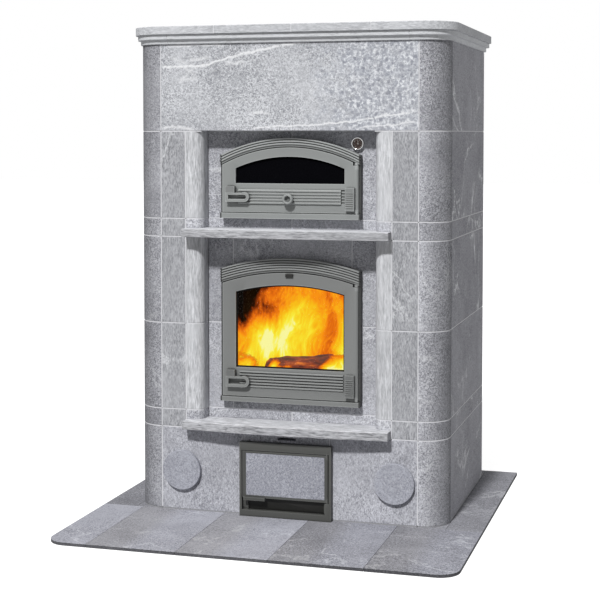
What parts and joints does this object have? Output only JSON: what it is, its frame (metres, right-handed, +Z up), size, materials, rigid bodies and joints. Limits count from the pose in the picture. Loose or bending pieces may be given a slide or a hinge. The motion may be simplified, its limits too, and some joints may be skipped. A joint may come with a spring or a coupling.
{
  "type": "wood stove",
  "caption": "Soapstone wood-burning heater with an arched fire door, an arched bake-oven door above it, an ash door, soot plugs, shelves and a tiled hearth.",
  "frame": {"origin": "centre of the hearth plate's underside, on the floor", "axes": "+Z up, -Y out of the door side (the front), +X to the right of a person facing the doors"},
  "size_m": [1.2, 1.215, 1.51],
  "materials": {
    "soapstone": "honed, fine speckles and faint veins",
    "hearth_stone": "honed",
    "core_stone": "sawn",
    "mortar": "raked joint",
    "cast_iron": "grey heat-proof paint",
    "dark_iron": "matt black",
    "dark_steel": "dark heat-proof paint",
    "steel": "satin",
    "chrome": "polished",
    "dial": "printed",
    "needle": "painted",
    "door_glass": "clear ceramic glass",
    "gauge_glass": "clear",
    "seal_rope": "woven rope"
  },
  "bodies": {
    "stove": {"ash_air_baffle": "dark_steel", "ash_door_frame": "dark_steel", "ash_lintel_stone": "soapstone", "ash_pan": "dark_steel", "back_stones": "soapstone", "base_stones": "soapstone", "ceiling_slab": "core_stone", "core_walls": "core_stone", "corner_stones": "soapstone", "cornice_mouldings": "soapstone", "fire_door_frame": "cast_iron", "fire_door_rope": "seal_rope", "fire_grate": "dark_iron", "fire_surround_stones": "soapstone", "firebox_floor": "core_stone", "flat_stones": "soapstone", "flue_collar": "steel", "flue_stone": "soapstone", "hearth_base_plate": "hearth_stone", "hearth_front_tiles": "hearth_stone", "hearth_side_tiles": "hearth_stone", "hinge_pins": "steel", "jamb_stones": "soapstone", "lintel_stone": "soapstone", "lower_shelf": "soapstone", "mortar_joints": "mortar", "oven_door_frame": "cast_iron", "oven_door_rope": "seal_rope", "oven_floor_stone": "core_stone", "oven_surround_stones": "soapstone", "oven_vault": "core_stone", "side_stones": "soapstone", "strip_stones": "soapstone", "thermometer_case": "chrome", "thermometer_dial": "dial", "thermometer_glass": "gauge_glass", "top_slabs": "soapstone", "upper_shelf": "soapstone"},
    "fire_door": {"fire_door_leaf": "cast_iron", "fire_door_catch": "dark_iron", "fire_glass": "door_glass", "fire_glass_rope": "seal_rope", "fire_glass_retainer": "steel"},
    "fire_handle": {"fire_door_handle": "cast_iron", "fire_latch_tongue": "steel"},
    "oven_door": {"oven_door_leaf": "cast_iron", "oven_glass": "door_glass", "oven_glass_rope": "seal_rope", "oven_glass_retainer": "steel"},
    "oven_handle": {"oven_door_handle": "cast_iron", "oven_latch_tongue": "steel"},
    "oven_air": {"oven_air_slide": "cast_iron", "oven_air_knob": "cast_iron"},
    "ash_door": {"ash_door_leaf": "dark_steel", "ash_door_inlay": "soapstone"},
    "needle": {"thermometer_needle": "needle"},
    "soot_plug_left": {"soot_plug_left": "soapstone"},
    "soot_plug_right": {"soot_plug_right": "soapstone"}
  },
  "joints": [
    {"name": "fire_door_hinge", "type": "hinge", "parent": "stove", "child": "fire_door", "pos_m": [0.209, -0.1338, 0.5], "axis": [0, 0, 1], "range_deg": [0, 100]},
    {"name": "oven_door_hinge", "type": "hinge", "parent": "stove", "child": "oven_door", "pos_m": [0.209, -0.1338, 1], "axis": [0, 0, 1], "range_deg": [0, 100]},
    {"name": "ash_door_hinge", "type": "hinge", "parent": "stove", "child": "ash_door", "pos_m": [0.1315, -0.1858, 0.14], "axis": [0, 0, 1], "range_deg": [0, 95]},
    {"name": "fire_handle_turn", "type": "hinge", "parent": "fire_door", "child": "fire_handle", "pos_m": [-0.1865, -0.149, 0.443], "axis": [0, -1, 0], "range_deg": [0, 45]},
    {"name": "oven_handle_turn", "type": "hinge", "parent": "oven_door", "child": "oven_handle", "pos_m": [-0.1865, -0.149, 1.01], "axis": [0, -1, 0], "range_deg": [0, 45]},
    {"name": "oven_air_slide", "type": "slide", "parent": "oven_door", "child": "oven_air", "axis": [1, 0, 0], "range_m": [0, 0.013]},
    {"name": "needle_turn", "type": "hinge", "parent": "stove", "child": "needle", "pos_m": [0.209, -0.12, 1.151], "axis": [0, -1, 0], "range_deg": [-120, 120]},
    {"name": "soot_plug_left_pull", "type": "slide", "parent": "stove", "child": "soot_plug_left", "axis": [0, -1, 0], "range_m": [0, 0.08]},
    {"name": "soot_plug_right_pull", "type": "slide", "parent": "stove", "child": "soot_plug_right", "axis": [0, -1, 0], "range_m": [0, 0.08]}
  ]
}
